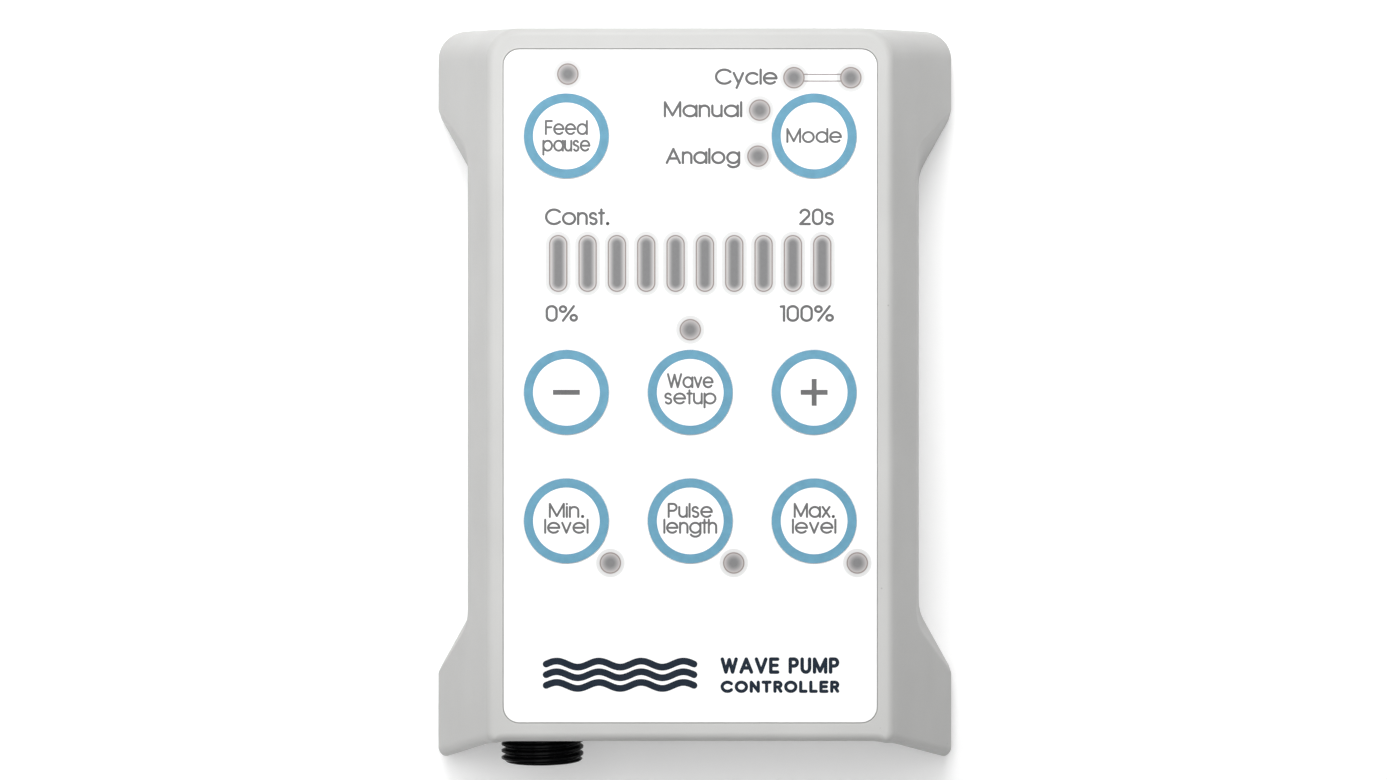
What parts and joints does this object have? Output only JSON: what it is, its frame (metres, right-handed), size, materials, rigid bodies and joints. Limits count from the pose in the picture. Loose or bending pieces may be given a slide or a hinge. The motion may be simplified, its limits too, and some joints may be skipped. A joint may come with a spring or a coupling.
{
  "type": "wave maker pump controller",
  "caption": "Hand-sized box with sloping sides and a flat keypad of round push keys and light windows, which drives an aquarium wave maker pump through a threaded socket.",
  "frame": {"origin": "middle of the rectangle that the controller rests on, in its rear plane", "axes": "+Z out of the keypad, +Y towards the top of the keypad, away from the sockets, +X to the right of someone reading it"},
  "size_m": [0.0784, 0.1108, 0.0321],
  "materials": {
    "case": "fine satin, light grey-white",
    "overlay": "smooth satin white film",
    "label": "satin film",
    "key": "satin white with a printed light blue ring",
    "stem": "moulded",
    "switch": "moulded",
    "light_pipe": "clear, slightly milky",
    "led": "moulded resin on a white base",
    "board": "green solder mask",
    "chip": "moulded epoxy",
    "capacitor": "drawn can",
    "ferrite": "pressed ferrite",
    "screw": "zinc plated",
    "socket": "black nylon, slight sheen",
    "socket_insert": "black nylon",
    "contact": "gold plated",
    "seal": "plain"
  },
  "bodies": {
    "controller": {"front_shell": "case", "rear_cover": "case", "keypad_overlay": "overlay", "rating_label": "label", "feed_pause_switch": "switch", "mode_switch": "switch", "minus_switch": "switch", "wave_setup_switch": "switch", "plus_switch": "switch", "min_level_switch": "switch", "pulse_length_switch": "switch", "max_level_switch": "switch", "feed_pause_light_pipe": "light_pipe", "cycle_left_light_pipe": "light_pipe", "cycle_right_light_pipe": "light_pipe", "manual_light_pipe": "light_pipe", "analog_light_pipe": "light_pipe", "wave_setup_light_pipe": "light_pipe", "min_level_light_pipe": "light_pipe", "pulse_length_light_pipe": "light_pipe", "max_level_light_pipe": "light_pipe", "bar_light_guide": "light_pipe", "indicator_leds": "led", "bar_leds": "led", "circuit_board": "board", "microcontroller": "chip", "driver_transistors": "chip", "bulk_capacitors": "capacitor", "inductor": "ferrite", "board_screws": "screw", "case_screws": "screw", "pump_socket_shell": "socket", "pump_socket_insert": "socket_insert", "pump_socket_contacts": "contact", "pump_socket_seal": "seal", "power_jack_housing": "socket_insert", "power_jack_pin": "contact", "control_jack_housing": "socket_insert"},
    "feed_pause_button": {"feed_pause_key": "key", "feed_pause_stem": "stem"},
    "mode_button": {"mode_key": "key", "mode_stem": "stem"},
    "minus_button": {"minus_key": "key", "minus_stem": "stem"},
    "wave_setup_button": {"wave_setup_key": "key", "wave_setup_stem": "stem"},
    "plus_button": {"plus_key": "key", "plus_stem": "stem"},
    "min_level_button": {"min_level_key": "key", "min_level_stem": "stem"},
    "pulse_length_button": {"pulse_length_key": "key", "pulse_length_stem": "stem"},
    "max_level_button": {"max_level_key": "key", "max_level_stem": "stem"}
  },
  "joints": [
    {"name": "feed_pause_press", "type": "slide", "parent": "controller", "child": "feed_pause_button", "axis": [0, 0, -1], "range_m": [0, 0.0004], "stiffness_N_per_m": 1000},
    {"name": "mode_press", "type": "slide", "parent": "controller", "child": "mode_button", "axis": [0, 0, -1], "range_m": [0, 0.0004], "stiffness_N_per_m": 1000},
    {"name": "minus_press", "type": "slide", "parent": "controller", "child": "minus_button", "axis": [0, 0, -1], "range_m": [0, 0.0004], "stiffness_N_per_m": 1000},
    {"name": "wave_setup_press", "type": "slide", "parent": "controller", "child": "wave_setup_button", "axis": [0, 0, -1], "range_m": [0, 0.0004], "stiffness_N_per_m": 1000},
    {"name": "plus_press", "type": "slide", "parent": "controller", "child": "plus_button", "axis": [0, 0, -1], "range_m": [0, 0.0004], "stiffness_N_per_m": 1000},
    {"name": "min_level_press", "type": "slide", "parent": "controller", "child": "min_level_button", "axis": [0, 0, -1], "range_m": [0, 0.0004], "stiffness_N_per_m": 1000},
    {"name": "pulse_length_press", "type": "slide", "parent": "controller", "child": "pulse_length_button", "axis": [0, 0, -1], "range_m": [0, 0.0004], "stiffness_N_per_m": 1000},
    {"name": "max_level_press", "type": "slide", "parent": "controller", "child": "max_level_button", "axis": [0, 0, -1], "range_m": [0, 0.0004], "stiffness_N_per_m": 1000}
  ]
}
